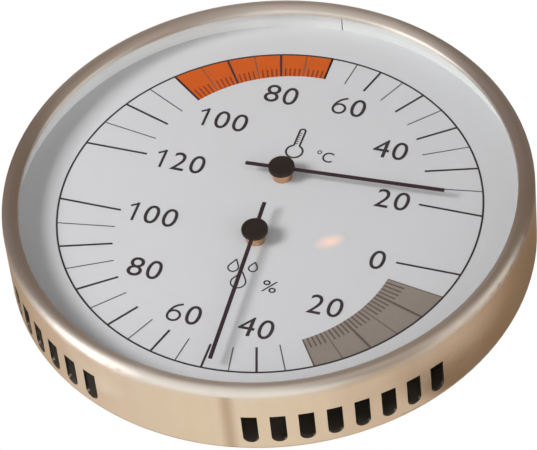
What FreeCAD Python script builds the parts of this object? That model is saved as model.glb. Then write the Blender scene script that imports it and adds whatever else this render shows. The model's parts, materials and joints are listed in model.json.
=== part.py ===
import FreeCAD, Part

# A sauna thermometer and hygrometer in one round metal case.
#
# The case is a drawn aluminium can with its front edge rolled over the glass.
# Behind the glass a split ring spaces the dial, and two small movements are
# riveted to the plate behind the dial. Each has a spiral strip that winds and
# unwinds, an arbor that carries the hand, and a friction lever that trims it.
#
# Every piece is drawn lying on its back: x to the right, y up the dial, and z
# out of the wall, measured from the rear face of the case. Standing the piece
# up turns z to -Y and y to +Z. The origin is the centre of the rear face.
# Lengths are millimetres and angles are degrees.

import math
import os
import re

import Sketcher

SIZES = {
    # the drawn case
    "case_radius": 65.0,
    "case_sheet": 0.8,
    "rear_corner_radius": 2.0,
    "lip_radius": 2.1,
    # the vent slots in its wall
    "slot_width": 3.75,
    "slot_setback": 0.3,
    "slot_rear_height": 3.5,
    "slot_count": 8,
    "slot_pitch_angle": 5.92,
    "slot_group_angle": 39.2,
    "slot_turn_angle": 4.8,
    # the keyhole that hangs it on a screw
    "keyhole_radius": 4.5,
    "keyhole_web": 4.5,
    "hanger_slot_width": 4.6,
    "hanger_slot_rise": 8.5,
    # the recesses for the case screws
    "dimple_side_gap": 0.8,
    "screw_head_recess": 0.3,
    "screw_hole_clearance": 0.15,
    # what the rear access hole leaves beside the swing of a lever's tool hole
    "access_margin": 0.73,
    # the glass and the ring under it
    "glass_thickness": 1.5,
    "glass_clearance": 0.3,
    "cap_glass_gap": 1.07,
    "spacer_thickness": 1.3,
    "spacer_split_width": 0.3,
    "spacer_split_angle": 90.6,
    # the dial and the plate behind it
    "dial_thickness": 0.4,
    "dial_clearance": 0.4,
    "plate_thickness": 1.0,
    "plate_wall_gap": 10.2,
    "pivot_offset": 10.6,
    # the pillars and their screws
    "pillar_edge_distance": 8.0,
    "pillar_first_angle": 30.0,
    "pillar_count": 3,
    "pillar_flats": 5.5,
    "pillar_spigot_radius": 1.7,
    "screw_radius": 1.45,
    "screw_length": 5.5,
    "screw_end_gap": 1.3,
    "screw_head_radius": 2.8,
    "screw_head_height": 1.4,
    "screw_slot_width": 0.8,
    "screw_slot_depth": 0.7,
    # the fits
    "fit_clearance": 0.02,
    "running_clearance": 0.05,
    "axial_clearance": 0.1,
    # the bridge that carries the rear end of an arbor
    "bridge_sheet": 0.8,
    "bridge_height": 3.6,
    "bridge_width": 8.0,
    "bridge_side_gap": 2.95,
    "bridge_foot_length": 6.0,
    "bridge_bend_radius": 0.6,
    "rivet_radius": 1.0,
    "rivet_head_radius": 1.8,
    "rivet_head_top_radius": 1.2,
    "rivet_head_height": 0.7,
    "rivet_edge_distance": 3.0,
    # the bushes
    "front_bush_radius": 2.45,
    "front_bush_flange_radius": 3.6,
    "front_bush_flange": 0.7,
    "front_bush_proud": 2.4,
    "rear_bush_radius": 2.0,
    "rear_bush_head_radius": 2.9,
    "rear_bush_head": 0.3,
    "rear_bush_swage_radius": 2.6,
    "rear_bush_swage": 0.4,
    # the arbor
    "arbor_radius": 0.8,
    "journal_radius": 0.5,
    "arbor_tip": 0.2,
    # the lever that trims the reading, and its washer
    "washer_radius": 3.6,
    "washer_thickness": 0.3,
    "lever_thickness": 0.6,
    "lever_eye_radius": 4.0,
    "lever_arm_width": 3.2,
    "lever_tail_length": 13.4,
    "lever_finger_width": 2.6,
    "tool_hole_edge_distance": 2.0,
    "tool_hole_radius": 0.9,
    # how far the lever swings each way
    "trim_angle": 12.0,
    # the spiral strip and the collet that holds its inner end
    "coil_strip": 0.35,
    "coil_width": 4.0,
    "coil_full_turns": 4,
    "coil_neighbour_gap": 1.98,
    "coil_base_gap": 0.9,
    "coil_front_gap": 0.36,
    "coil_weld_gap": 0.03,
    "coil_collet_radius": 1.5,
    "coil_collet_overhang": 0.25,
    # the hands, their collets and the black caps over them
    "hand_length": 41.0,
    "hand_tail_gap": 1.4,
    "hand_width": 0.95,
    "hand_thickness": 0.3,
    "hand_eye_radius": 2.2,
    "hand_running_gap": 0.2,
    "hand_collet_radius": 2.0,
    "hand_collet_flange": 0.4,
    "hand_collet_neck_radius": 1.2,
    "hand_collet_neck": 0.7,
    "cap_radius": 3.25,
    "cap_skirt": 0.1,
    "cap_crown": 0.18,
    "cap_edge_radius": 0.3,
    "temperature_rest_angle": 3.3,
    "humidity_rest_angle": -86.7,
    # how far a cut runs past what it cuts
    "overrun": 2.0,
}

# Heights above the rear face, from the back of the stack to its front: the
# movements set the height of the plate and the dial, and the hands that of the glass.
DIMPLE_DEPTH = "(screw_head_recess + screw_head_height)"
DIMPLE_FLOOR = f"({DIMPLE_DEPTH} + case_sheet)"
BRIDGE_FRONT = "(bridge_height + bridge_sheet)"
LEVER_BACK = f"({BRIDGE_FRONT} + washer_thickness + fit_clearance)"
LEVER_FRONT = f"({LEVER_BACK} + lever_thickness)"
REAR_BUSH_FRONT = f"({LEVER_FRONT} + fit_clearance + rear_bush_head)"
COIL_BACK = f"({REAR_BUSH_FRONT} + coil_base_gap)"
COIL_FRONT = f"({COIL_BACK} + coil_width)"
PLATE_BACK = f"({COIL_FRONT} + coil_front_gap + front_bush_flange)"
BEHIND_DIAL = f"({PLATE_BACK} + plate_thickness)"
DIAL_FRONT = f"({BEHIND_DIAL} + dial_thickness)"
HAND_BACK = f"({DIAL_FRONT} + front_bush_proud + hand_running_gap + hand_collet_flange)"
ARBOR_FRONT = f"({HAND_BACK} + hand_collet_neck + arbor_tip)"
CAP_FRONT = f"({ARBOR_FRONT} + fit_clearance + cap_crown)"
GLASS_BACK = f"({CAP_FRONT} + cap_glass_gap)"
GLASS_FRONT = f"({GLASS_BACK} + glass_thickness)"

# reaches from the axis of the case
INNER_WALL = "(case_radius - case_sheet)"
PLATE_RADIUS = f"({INNER_WALL} - plate_wall_gap)"
PILLAR_CIRCLE = f"({PLATE_RADIUS} - pillar_edge_distance)"

# Reaches from a pivot: the coil stops short of the other one, and its outer end
# meets the finger of the lever, which swings inside the bridge.
COIL_REACH = "(pivot_offset - coil_neighbour_gap)"
FINGER_INNER = f"({COIL_REACH} + coil_weld_gap)"
FINGER_OUTER = f"({FINGER_INNER} + lever_thickness)"
BRIDGE_REACH = f"({FINGER_OUTER} + bridge_side_gap + bridge_sheet)"
RIVET_REACH = f"({BRIDGE_REACH} + bridge_foot_length - rivet_edge_distance)"
TOOL_HOLE_REACH = "(lever_tail_length - tool_hole_edge_distance)"

# The access holes in the rear wall let a tool follow the swing of the levers, and
# the keyhole stands a web above the upper one.
ACCESS_HEIGHT = f"(pivot_offset + {TOOL_HOLE_REACH})"
ACCESS_RADIUS = f"({TOOL_HOLE_REACH} * sin(trim_angle) + tool_hole_radius + access_margin)"
KEYHOLE_HEIGHT = f"({ACCESS_HEIGHT} + {ACCESS_RADIUS} + keyhole_web + keyhole_radius)"

LYING = FreeCAD.Vector(0, 0, 1)
STAND_UP = FreeCAD.Rotation(FreeCAD.Vector(1, 0, 0), 90)
FULL_TURN = 360
PARTS_FOLDER = "parts"

doc = FreeCAD.newDocument("sauna_thermo_hygrometer")
sheet = doc.addObject("Spreadsheet::Sheet", "Sizes")
for row, (alias, size) in enumerate(SIZES.items(), start=1):
    sheet.set(f"A{row}", alias.replace("_", " "))
    sheet.set(f"B{row}", str(size))
    sheet.setAlias(f"B{row}", alias)
doc.recompute()

pieces = []


def cells(text):
    """The expression that reads each named size from the sheet."""
    return re.sub(r"[a-z]+(?:_[a-z]+)+|overrun", lambda found: "Sizes." + found.group(0), text)


def number(text):
    """What an expression of named sizes comes to."""
    return float(sheet.evalExpression(cells(text)))


def place(piece, pivot="0", spin=0.0):
    """Stand a piece up, turned on its own axis and moved up to its pivot."""
    turned_by = STAND_UP.multiply(FreeCAD.Rotation(LYING, spin))
    piece.Placement = FreeCAD.Placement(FreeCAD.Vector(0, 0, number(pivot)), turned_by)
    if pivot != "0":
        piece.setExpression(".Placement.Base.z", cells(pivot))


def new_body(label, pivot="0", spin=0.0):
    body = doc.addObject("PartDesign::Body", label)
    body.Label = label
    place(body, pivot, spin)
    pieces.append(body)
    return body


def new_sketch(body, name, plane="XY_Plane", lift="0", turn=None):
    """A sketch on one of the body's own planes, lifted along or turned in it."""
    sketch = body.newObject("Sketcher::SketchObject", f"{body.Label}_{name}")
    support = next(part for part in body.Origin.OriginFeatures if part.Role == plane)
    sketch.AttachmentSupport = (support, "")
    sketch.MapMode = "FlatFace"
    if turn is not None:
        about_case_axis = FreeCAD.Rotation(FreeCAD.Vector(0, 1, 0), number(turn))
        sketch.AttachmentOffset = FreeCAD.Placement(FreeCAD.Vector(), about_case_axis)
        sketch.setExpression("AttachmentOffset.Rotation.Angle", cells(turn))
    if lift != "0":
        sketch.setExpression("AttachmentOffset.Base.z", cells(lift))
    return sketch


def pin(sketch, edge, point, across, along, only=None):
    """Bind one point of a sketch to the sizes that place it, both ways or only one."""
    for kind, text, axis in (("DistanceX", across, -2), ("DistanceY", along, -1)):
        if only not in (None, kind):
            continue
        if text == "0":
            sketch.addConstraint(Sketcher.Constraint("PointOnObject", edge, point, axis))
            continue
        index = sketch.addConstraint(Sketcher.Constraint(kind, -1, 1, edge, point, number(text)))
        sketch.setExpression(f"Constraints[{index}]", cells(text))


def add_radius(sketch, edge, radius):
    index = sketch.addConstraint(Sketcher.Constraint("Radius", edge, number(radius)))
    sketch.setExpression(f"Constraints[{index}]", cells(radius))


def draw_loop(sketch, corners, arcs=None):
    """A closed outline through its corners.

    arcs gives, by the number of the corner that an arc starts from, its centre
    and whether it runs counter-clockwise. All other edges are straight.
    """
    arcs = arcs or {}
    spots = [FreeCAD.Vector(number(across), number(along), 0) for across, along in corners]
    count = len(spots)
    first_edge = sketch.GeometryCount
    ends = []
    pinned = [None] * count
    for index, start in enumerate(spots):
        end = spots[(index + 1) % count]
        if index not in arcs:
            sketch.addGeometry(Part.LineSegment(start, end), False)
            ends.append((1, 2))
            continue
        (centre_x, centre_y), rises = arcs[index]
        centre = FreeCAD.Vector(number(centre_x), number(centre_y), 0)
        circle = Part.Circle(centre, LYING, start.distanceToPoint(centre))
        low, high = (start, end) if rises else (end, start)
        low_angle = math.atan2(low.y - centre.y, low.x - centre.x)
        high_angle = math.atan2(high.y - centre.y, high.x - centre.x)
        if high_angle <= low_angle:
            high_angle += math.tau
        sketch.addGeometry(Part.ArcOfCircle(circle, low_angle, high_angle), False)
        ends.append((1, 2) if rises else (2, 1))
        level = abs(end.x - centre.x) > abs(end.y - centre.y)
        pinned[(index + 1) % count] = "DistanceY" if level else "DistanceX"
    for index in range(count):
        this_edge, next_edge = first_edge + index, first_edge + (index + 1) % count
        joined = ("Coincident", this_edge, ends[index][1], next_edge, ends[(index + 1) % count][0])
        sketch.addConstraint(Sketcher.Constraint(*joined))
    for index, (across, along) in enumerate(corners):
        pin(sketch, first_edge + index, ends[index][0], across, along, pinned[index])
    for index, ((centre_x, centre_y), _) in arcs.items():
        pin(sketch, first_edge + index, 3, centre_x, centre_y)


def draw_circle(sketch, across, along, radius):
    centre = FreeCAD.Vector(number(across), number(along), 0)
    edge = sketch.addGeometry(Part.Circle(centre, LYING, number(radius)), False)
    pin(sketch, edge, 3, across, along)
    add_radius(sketch, edge, radius)


def box_corners(low_x, low_y, high_x, high_y):
    return [(low_x, low_y), (high_x, low_y), (high_x, high_y), (low_x, high_y)]


def revolve(body, sketch):
    """Turn a profile, drawn as radius and height, about the piece's own axis."""
    feature = body.newObject("PartDesign::Revolution", f"{sketch.Name}_turned")
    feature.Profile = sketch
    feature.ReferenceAxis = (sketch, ["V_Axis"])
    feature.Angle = FULL_TURN
    doc.recompute()
    return feature


def pad(body, sketch, thickness, both_ways=False):
    feature = body.newObject("PartDesign::Pad", f"{sketch.Name}_pad")
    feature.Profile = sketch
    feature.setExpression("Length", cells(thickness))
    if both_ways:
        feature.SideType = "Symmetric"
    doc.recompute()
    return feature


def pocket(body, sketch, depth, along_normal=True):
    """Cut a sketch away from its plane, and make sure that it cut something."""
    volume_before = body.Shape.Volume
    feature = body.newObject("PartDesign::Pocket", f"{sketch.Name}_cut")
    feature.Profile = sketch
    feature.setExpression("Length", cells(depth))
    feature.Reversed = along_normal
    doc.recompute()
    if body.Shape.Volume >= volume_before:
        raise RuntimeError(f"{feature.Label} cuts nothing")
    return feature


def round_edges(body, name, radius, wanted):
    """Fillet the edges of the body that a test picks out."""
    base = body.Tip
    names = [f"Edge{index}" for index, edge in enumerate(base.Shape.Edges, start=1) if wanted(edge)]
    fillet = body.newObject("PartDesign::Fillet", f"{body.Label}_{name}")
    fillet.Base = (base, names)
    fillet.setExpression("Radius", cells(radius))
    doc.recompute()
    return fillet


def turned_piece(label, profile, pivot="0"):
    """A piece made on a lathe: its profile is a list of radius and height."""
    body = new_body(label, pivot)
    sketch = new_sketch(body, "profile", "XZ_Plane")
    draw_loop(sketch, profile)
    revolve(body, sketch)
    return body


def pillar_spots():
    """Where the pillars, their recesses and their screws stand."""
    for index in range(int(SIZES["pillar_count"])):
        angle = f"(pillar_first_angle + {index} * {FULL_TURN} / pillar_count)"
        yield f"{PILLAR_CIRCLE} * cos({angle})", f"{PILLAR_CIRCLE} * sin({angle})"


def add_vent_slots(case):
    """Four groups of slots, flat at the front and round at the rear."""
    half = "slot_width / 2"
    front = f"{DIAL_FRONT} - slot_setback"
    rear_centre = f"slot_rear_height + {half}"
    corners = [(f"-({half})", front), (f"-({half})", rear_centre), (half, rear_centre), (half, front)]
    span = "slot_pitch_angle * (slot_count - 1)"
    axis = next(part for part in case.Origin.OriginFeatures if part.Role == "Z_Axis")
    centres = {
        "lower_right": "-90 + slot_group_angle - slot_turn_angle",
        "upper_right": "90 - slot_group_angle - slot_turn_angle",
        "upper_left": "90 + slot_group_angle - slot_turn_angle",
        "lower_left": "-90 - slot_group_angle - slot_turn_angle",
    }
    for group, centre in centres.items():
        first = f"{centre} - ({span}) / 2 - 90"
        sketch = new_sketch(case, f"{group}_slot", "XZ_Plane", turn=first)
        draw_loop(sketch, corners, {1: (("0", rear_centre), True)})
        slot = pocket(case, sketch, "case_radius + overrun", along_normal=False)
        row_of_slots = case.newObject("PartDesign::PolarPattern", f"{group}_slots")
        row_of_slots.Originals = [slot]
        row_of_slots.Axis = (axis, [""])
        row_of_slots.setExpression("Angle", cells(span))
        row_of_slots.setExpression("Occurrences", cells("slot_count"))
        case.Tip = row_of_slots
        doc.recompute()


def make_case():
    """The can: rear wall, side wall and the lip rolled over the glass.

    The outer side of each bend is an arc. The inner side, which nothing shows,
    is a few straight runs between points one sheet inside that arc.
    """
    case = new_body("case_shell")
    bend = "(case_radius - rear_corner_radius)"
    lip_middle = "(case_radius - lip_radius)"
    inside_corner = "(rear_corner_radius - case_sheet)"
    inside_lip = "(lip_radius - case_sheet)"
    profile = new_sketch(case, "profile", "XZ_Plane")
    corners = [
        ("0", "0"),
        (bend, "0"),
        ("case_radius", "rear_corner_radius"),
        ("case_radius", GLASS_FRONT),
        (f"{lip_middle} - lip_radius", GLASS_FRONT),
        (f"{lip_middle} - {inside_lip}", GLASS_FRONT),
    ]
    for angle in (120, 60):
        corners.append((
            f"{lip_middle} + {inside_lip} * cos({angle})",
            f"{GLASS_FRONT} + {inside_lip} * sin({angle})",
        ))
    corners += [
        (INNER_WALL, GLASS_FRONT),
        (INNER_WALL, "rear_corner_radius"),
        (
            f"{bend} + {inside_corner} * cos(45)",
            f"rear_corner_radius - {inside_corner} * sin(45)",
        ),
        (bend, "case_sheet"),
        ("0", "case_sheet"),
    ]
    outer_bends = {1: ((bend, "rear_corner_radius"), True), 3: ((lip_middle, GLASS_FRONT), True)}
    draw_loop(profile, corners, outer_bends)
    revolve(case, profile)

    bosses = new_sketch(case, "screw_bosses")
    dimples = new_sketch(case, "screw_dimples")
    screw_holes = new_sketch(case, "screw_holes")
    dimple_radius = "screw_head_radius + dimple_side_gap"
    for across, along in pillar_spots():
        draw_circle(bosses, across, along, dimple_radius + " + case_sheet")
        draw_circle(dimples, across, along, dimple_radius)
        draw_circle(screw_holes, across, along, "screw_radius + screw_hole_clearance")
    pad(case, bosses, DIMPLE_FLOOR)
    pocket(case, dimples, DIMPLE_DEPTH)
    pocket(case, screw_holes, f"{DIMPLE_FLOOR} + overrun")

    rear_holes = new_sketch(case, "rear_holes")
    half = "hanger_slot_width / 2"
    slot_end = f"{KEYHOLE_HEIGHT} + hanger_slot_rise"
    slot_start = f"{KEYHOLE_HEIGHT} + sqrt(keyhole_radius ^ 2 - ({half}) ^ 2)"
    keyhole = [(half, slot_start), (half, slot_end), (f"-({half})", slot_end), (f"-({half})", slot_start)]
    slot_cap = (("0", slot_end), True)
    entry = (("0", KEYHOLE_HEIGHT), True)
    draw_loop(rear_holes, keyhole, {1: slot_cap, 3: entry})
    for side in ("", "-"):
        draw_circle(rear_holes, "0", side + ACCESS_HEIGHT, ACCESS_RADIUS)
    pocket(case, rear_holes, "case_sheet + overrun")

    add_vent_slots(case)


def make_glass_and_spacer():
    """The pane under the lip, and the split ring that keeps it off the dial."""
    rim = f"{INNER_WALL} - glass_clearance"
    turned_piece("front_glass", box_corners("0", GLASS_BACK, rim, GLASS_FRONT))
    bore = rim + " - spacer_thickness"
    ring = turned_piece("spacer_ring", box_corners(bore, DIAL_FRONT, rim, GLASS_BACK))
    split = new_sketch(ring, "split", "XZ_Plane", turn="spacer_split_angle - 90")
    half = "spacer_split_width / 2"
    gap = box_corners(f"-({half})", f"{DIAL_FRONT} - overrun", half, f"{GLASS_BACK} + overrun")
    draw_loop(split, gap)
    pocket(ring, split, "case_radius + overrun", along_normal=False)


def make_dial_and_plate():
    """The printed dial, and the plate that carries both movements behind it."""
    bush_hole = "front_bush_radius + fit_clearance"
    dial = new_body("dial_face")
    face = new_sketch(dial, "outline", lift=BEHIND_DIAL)
    draw_circle(face, "0", "0", f"{INNER_WALL} - dial_clearance")
    for side in ("", "-"):
        draw_circle(face, "0", f"{side}pivot_offset", bush_hole)
    pad(dial, face, "dial_thickness")

    plate = new_body("movement_plate")
    blank = new_sketch(plate, "outline", lift=PLATE_BACK)
    draw_circle(blank, "0", "0", PLATE_RADIUS)
    for side in ("", "-"):
        draw_circle(blank, "0", f"{side}pivot_offset", bush_hole)
        for rivet in (RIVET_REACH, f"-{RIVET_REACH}"):
            draw_circle(blank, rivet, f"{side}pivot_offset", "rivet_radius + fit_clearance")
    for across, along in pillar_spots():
        draw_circle(blank, across, along, "pillar_spigot_radius + fit_clearance")
    pad(plate, blank, "plate_thickness")


def make_pillars():
    """Hexagonal pillars swaged into the plate, each held by a screw from behind."""
    names = ("pillar_right", "pillar_left", "pillar_bottom")
    corner = "pillar_flats / sqrt(3)"
    for name, (across, along) in zip(names, pillar_spots()):
        pillar = new_body(name)
        section = new_sketch(pillar, "section", lift=DIMPLE_FLOOR)
        points = []
        for index in range(6):
            turn = f"({index} * {FULL_TURN} / 6)"
            points.append((f"{across} + {corner} * cos({turn})", f"{along} + {corner} * sin({turn})"))
        draw_loop(section, points)
        pad(pillar, section, f"{PLATE_BACK} - {DIMPLE_FLOOR}")
        spigot = new_sketch(pillar, "spigot", lift=PLATE_BACK)
        draw_circle(spigot, across, along, "pillar_spigot_radius")
        pad(pillar, spigot, "plate_thickness")
        bore = new_sketch(pillar, "bore", lift=DIMPLE_FLOOR)
        draw_circle(bore, across, along, "screw_radius + running_clearance")
        pocket(pillar, bore, "screw_length - case_sheet + screw_end_gap")


def make_case_screws():
    """Three pan-head screws, kept as one group of separate solids."""
    solids = []
    for across, along in pillar_spots():
        spot = FreeCAD.Vector(number(across), number(along), SIZES["screw_head_recess"])
        head = Part.makeCylinder(SIZES["screw_head_radius"], SIZES["screw_head_height"], spot)
        shank_start = FreeCAD.Vector(spot.x, spot.y, number(DIMPLE_DEPTH))
        shank = Part.makeCylinder(SIZES["screw_radius"], SIZES["screw_length"], shank_start)
        slot_size = (2 * SIZES["screw_head_radius"], SIZES["screw_slot_width"])
        slot_corner = spot - FreeCAD.Vector(slot_size[0] / 2, slot_size[1] / 2, 0)
        slot = Part.makeBox(*slot_size, SIZES["screw_slot_depth"], slot_corner)
        solids.append(head.fuse(shank).cut(slot).removeSplitter().Solids[0])
    screws = doc.addObject("Part::Feature", "case_screws")
    screws.Label = "case_screws"
    screws.Shape = Part.makeCompound(solids)
    place(screws)
    pieces.append(screws)


def make_bridge(name, pivot):
    """A sheet bracket, feet on the plate, that spans the coil behind it."""
    bridge = new_body(f"{name}_bridge", pivot)
    inner = f"({BRIDGE_REACH} - bridge_sheet)"
    foot = f"({BRIDGE_REACH} + bridge_foot_length)"
    right = [
        (foot, PLATE_BACK),
        (foot, f"{PLATE_BACK} - bridge_sheet"),
        (BRIDGE_REACH, f"{PLATE_BACK} - bridge_sheet"),
        (BRIDGE_REACH, "bridge_height"),
    ]
    left = [(f"-({across})", along) for across, along in reversed(right)]
    inside = [
        (f"-{inner}", PLATE_BACK),
        (f"-{inner}", BRIDGE_FRONT),
        (inner, BRIDGE_FRONT),
        (inner, PLATE_BACK),
    ]
    profile = new_sketch(bridge, "profile", "XZ_Plane")
    draw_loop(profile, right + left + inside)
    pad(bridge, profile, "bridge_width", both_ways=True)

    lowest = number("bridge_height")
    feet = number(f"{PLATE_BACK} - bridge_sheet")
    reach = number(BRIDGE_REACH)
    near = SIZES["fit_clearance"]

    def is_bend(edge):
        along_width = abs(edge.BoundBox.YLength - SIZES["bridge_width"]) < near
        outside = abs(abs(edge.CenterOfMass.x) - reach) < near
        height = edge.CenterOfMass.z
        return along_width and outside and min(abs(height - lowest), abs(height - feet)) < near

    round_edges(bridge, "bends", "bridge_bend_radius", is_bend)
    holes = new_sketch(bridge, "holes", lift="bridge_height")
    draw_circle(holes, "0", "0", "rear_bush_radius + fit_clearance")
    for rivet in (RIVET_REACH, f"-{RIVET_REACH}"):
        draw_circle(holes, rivet, "0", "rivet_radius + fit_clearance")
    pocket(bridge, holes, f"{PLATE_BACK} + overrun")


def make_rivets(name, pivot):
    """Two rivets through a bridge's feet, flush with the front of the plate."""
    seat = number(f"{PLATE_BACK} - bridge_sheet")
    length = SIZES["bridge_sheet"] + SIZES["plate_thickness"]
    head_sizes = [SIZES[f"rivet_head_{kind}"] for kind in ("top_radius", "radius", "height")]
    solids = []
    for side in (1, -1):
        spot = FreeCAD.Vector(side * number(RIVET_REACH), 0, seat)
        shank = Part.makeCylinder(SIZES["rivet_radius"], length, spot)
        head = Part.makeCone(*head_sizes, spot - FreeCAD.Vector(0, 0, SIZES["rivet_head_height"]))
        solids.append(shank.fuse(head).removeSplitter().Solids[0])
    rivets = doc.addObject("Part::Feature", f"{name}_bridge_rivets")
    rivets.Label = f"{name}_bridge_rivets"
    rivets.Shape = Part.makeCompound(solids)
    place(rivets, pivot)
    pieces.append(rivets)


def make_bushes(name, pivot):
    """The brass bearings at the dial and in the bridge, and the friction washer."""
    bore = "arbor_radius + running_clearance"
    back = f"{PLATE_BACK} - front_bush_flange"
    front = f"{DIAL_FRONT} + front_bush_proud"
    front_profile = [
        (bore, back),
        ("front_bush_flange_radius", back),
        ("front_bush_flange_radius", PLATE_BACK),
        ("front_bush_radius", PLATE_BACK),
        ("front_bush_radius", front),
        (bore, front),
    ]
    turned_piece(f"{name}_front_bush", front_profile, pivot)

    bore = "journal_radius + running_clearance"
    tail = "bridge_height - rear_bush_swage"
    head_back = f"{LEVER_FRONT} + fit_clearance"
    rear_profile = [
        (bore, tail),
        ("rear_bush_swage_radius", tail),
        ("rear_bush_swage_radius", "bridge_height"),
        ("rear_bush_radius", "bridge_height"),
        ("rear_bush_radius", head_back),
        ("rear_bush_head_radius", head_back),
        ("rear_bush_head_radius", REAR_BUSH_FRONT),
        (bore, REAR_BUSH_FRONT),
    ]
    turned_piece(f"{name}_rear_bush", rear_profile, pivot)

    hole = "rear_bush_radius + running_clearance"
    washer_front = f"{BRIDGE_FRONT} + washer_thickness"
    washer = box_corners(hole, BRIDGE_FRONT, "washer_radius", washer_front)
    turned_piece(f"{name}_friction_washer", washer, pivot)


def make_lever(name, pivot, spin):
    """The trimming lever: an eye, an arm with a finger for the coil, and a tail."""
    lever = new_body(f"{name}_adjuster", pivot, spin)
    half_arm = "lever_arm_width / 2"
    blank = new_sketch(lever, "eye", lift=LEVER_BACK)
    draw_circle(blank, "0", "0", "lever_eye_radius")
    pad(lever, blank, "lever_thickness")
    arm = new_sketch(lever, "arm", lift=LEVER_BACK)
    draw_loop(arm, box_corners(f"-{FINGER_OUTER}", f"-({half_arm})", "0", half_arm))
    pad(lever, arm, "lever_thickness")
    tail = new_sketch(lever, "tail", lift=LEVER_BACK)
    tail_centre = "lever_tail_length - lever_arm_width / 2"
    corners = [("0", "0"), (half_arm, "0"), (half_arm, tail_centre), (f"-({half_arm})", tail_centre)]
    corners.append((f"-({half_arm})", "0"))
    draw_loop(tail, corners, {2: (("0", tail_centre), True)})
    pad(lever, tail, "lever_thickness")
    finger = new_sketch(lever, "finger", lift=LEVER_BACK)
    half_finger = "lever_finger_width / 2"
    footprint = box_corners(f"-{FINGER_OUTER}", f"-({half_finger})", f"-{FINGER_INNER}", half_finger)
    draw_loop(finger, footprint)
    pad(lever, finger, f"{COIL_FRONT} - {LEVER_BACK}")
    holes = new_sketch(lever, "holes", lift=LEVER_BACK)
    draw_circle(holes, "0", "0", "rear_bush_radius + running_clearance")
    draw_circle(holes, "0", TOOL_HOLE_REACH, "tool_hole_radius")
    pocket(lever, holes, "lever_thickness + overrun")


def spiral_edge(half_turns, first_radius, growth):
    """One side of the strip: half turns about two centres, each wider than the last."""
    back = number(COIL_BACK)
    edges = []
    for index in range(half_turns):
        lower_half = index % 2 == 1
        centre = FreeCAD.Vector(growth / 2 if lower_half else -growth / 2, 0, back)
        circle = Part.Circle(centre, LYING, first_radius + index * growth)
        start = math.pi if lower_half else 0
        edges.append(Part.ArcOfCircle(circle, start, start + math.pi).toShape())
    return edges


def strip_end(inner_edge, outer_edge, which):
    """The short straight end of the strip, from its inner side to its outer side."""
    near = inner_edge.valueAt(getattr(inner_edge, which))
    far = outer_edge.valueAt(getattr(outer_edge, which))
    return Part.makeLine(near, far)


def make_coil(name, pivot, spin):
    """The flat spiral strip: its inner end meets the collet, its outer end the finger."""
    half_turns = 2 * int(SIZES["coil_full_turns"]) + 1
    seat = SIZES["coil_collet_radius"] + SIZES["fit_clearance"]
    growth = (number(COIL_REACH) - seat - SIZES["coil_strip"]) / half_turns
    inner = spiral_edge(half_turns, seat + growth / 2, growth)
    outer = spiral_edge(half_turns, seat + growth / 2 + SIZES["coil_strip"], growth)
    start = strip_end(inner[0], outer[0], "FirstParameter")
    end = strip_end(inner[-1], outer[-1], "LastParameter")
    outline = Part.Wire(Part.sortEdges(inner + outer + [start, end])[0])
    strip = Part.Face(outline).extrude(FreeCAD.Vector(0, 0, SIZES["coil_width"]))
    coil = doc.addObject("Part::Feature", f"{name}_coil")
    coil.Label = f"{name}_coil"
    coil.Shape = strip
    place(coil, pivot, spin)
    pieces.append(coil)


def make_arbor(name, pivot):
    """The arbor on its two journals, and the collet that grips the coil's inner end."""
    shoulder = f"{REAR_BUSH_FRONT} + axial_clearance"
    rear_end = "bridge_height - rear_bush_swage"
    profile = [
        ("0", rear_end),
        ("journal_radius", rear_end),
        ("journal_radius", shoulder),
        ("arbor_radius", shoulder),
        ("arbor_radius", ARBOR_FRONT),
        ("0", ARBOR_FRONT),
    ]
    turned_piece(f"{name}_arbor", profile, pivot)
    bore = "arbor_radius + fit_clearance"
    back = f"{COIL_BACK} - coil_collet_overhang"
    front = f"{COIL_FRONT} + coil_collet_overhang"
    turned_piece(f"{name}_coil_collet", box_corners(bore, back, "coil_collet_radius", front), pivot)


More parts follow.
